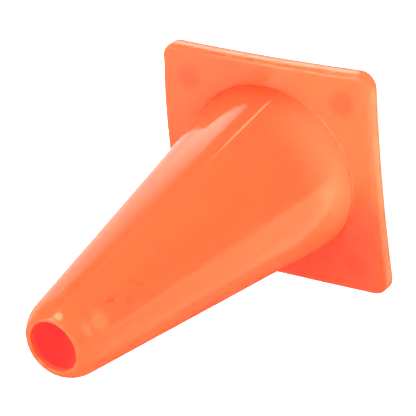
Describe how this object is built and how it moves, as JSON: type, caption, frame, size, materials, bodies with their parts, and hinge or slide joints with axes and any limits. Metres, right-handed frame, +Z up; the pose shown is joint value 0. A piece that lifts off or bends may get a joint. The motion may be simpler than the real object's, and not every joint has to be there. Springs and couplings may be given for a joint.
{
  "type": "traffic cone",
  "caption": "Small hollow traffic cone in glossy orange soft vinyl, open at the tip, on a square base with rounded corners, a turned-down rim and rubber feet.",
  "frame": {"origin": "on the floor, on the cone's axis, midway between the four feet", "axes": "+Z up along the cone's axis to the open tip; X and Y along the sides of the square base"},
  "size_m": [0.192, 0.192, 0.305],
  "materials": {
    "orange_vinyl": "glossy, slightly translucent soft vinyl",
    "foot_rubber": "matte"
  },
  "bodies": {
    "root": {"cone_moulding": "orange_vinyl", "foot_front_right": "foot_rubber", "foot_front_left": "foot_rubber", "foot_rear_left": "foot_rubber", "foot_rear_right": "foot_rubber"}
  },
  "joints": []
}
